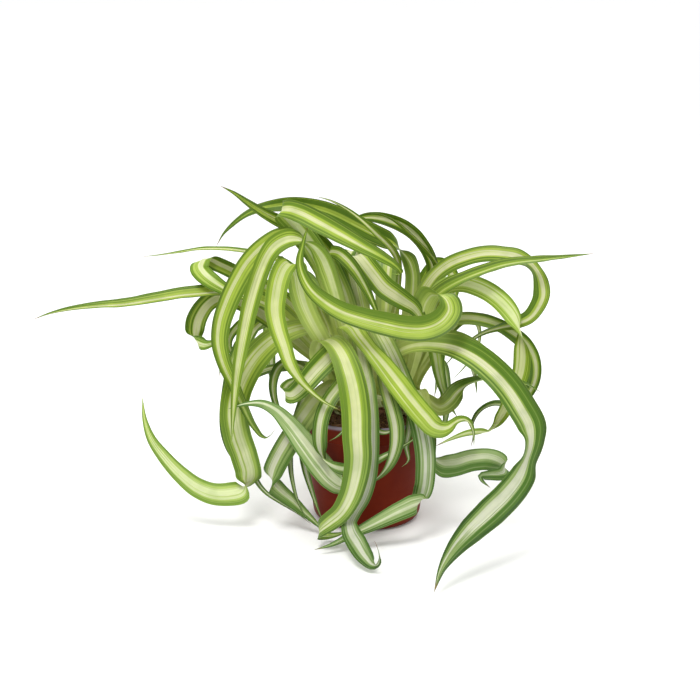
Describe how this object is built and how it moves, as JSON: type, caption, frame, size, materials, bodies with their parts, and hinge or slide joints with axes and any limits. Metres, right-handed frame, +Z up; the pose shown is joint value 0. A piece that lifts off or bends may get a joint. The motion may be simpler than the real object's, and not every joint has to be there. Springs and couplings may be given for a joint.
{
  "type": "potted spider plant",
  "caption": "Variegated spider plant with long arching strap leaves, green at the margins and cream along the middle, growing in a round terracotta-coloured plastic nursery pot.",
  "frame": {"origin": "centre of the pot's foot, on the surface that it stands on", "axes": "+Z up along the pot's axis, -Y towards the front of the plant, +X to the right of someone facing it"},
  "size_m": [0.5126, 0.3853, 0.319],
  "materials": {
    "pot_plastic": "satin",
    "soil": "matte",
    "crown": "satin",
    "leaf": "satin"
  },
  "bodies": {
    "root": {"pot": "pot_plastic", "soil": "soil", "crown": "crown", "leaf_back_fall": "leaf", "leaf_back_left_arc": "leaf", "leaf_back_left_fall": "leaf", "leaf_back_left_reach": "leaf", "leaf_back_low": "leaf", "leaf_back_low_right": "leaf", "leaf_back_right_curl": "leaf", "leaf_back_right_fall": "leaf", "leaf_back_right_reach": "leaf", "leaf_back_upright": "leaf", "leaf_centre_fold": "leaf", "leaf_dark_vertical": "leaf", "leaf_far_left_arc": "leaf", "leaf_folded_top": "leaf", "leaf_front_centre": "leaf", "leaf_front_drop_right": "leaf", "leaf_front_foot_curl": "leaf", "leaf_front_right_fold": "leaf", "leaf_front_right_low": "leaf", "leaf_high_front_loop": "leaf", "leaf_high_left_point": "leaf", "leaf_left_arch_outer": "leaf", "leaf_left_arch_second": "leaf", "leaf_left_arch_third": "leaf", "leaf_left_curl": "leaf", "leaf_left_fold_drop": "leaf", "leaf_left_folded": "leaf", "leaf_left_long": "leaf", "leaf_left_loop": "leaf", "leaf_left_low_point": "leaf", "leaf_left_thin": "leaf", "leaf_low_left_back": "leaf", "leaf_low_left_front": "leaf", "leaf_mid_arc": "leaf", "leaf_mid_fold": "leaf", "leaf_pot_left_strip": "leaf", "leaf_pot_loop": "leaf", "leaf_pot_small_tip": "leaf", "leaf_right_arch": "leaf", "leaf_right_drop": "leaf", "leaf_right_edge_arc": "leaf", "leaf_right_low": "leaf", "leaf_right_mid_arch": "leaf", "leaf_right_pale_arch": "leaf", "leaf_right_point": "leaf", "leaf_right_sweep": "leaf", "leaf_right_sweep_back": "leaf", "leaf_right_thin": "leaf", "leaf_rim_left_tip": "leaf", "leaf_rim_stub": "leaf", "leaf_thin_top": "leaf", "leaf_top_arc": "leaf", "leaf_top_right_arc": "leaf", "leaf_top_right_edge": "leaf", "leaf_under_dark": "leaf"}
  },
  "joints": []
}
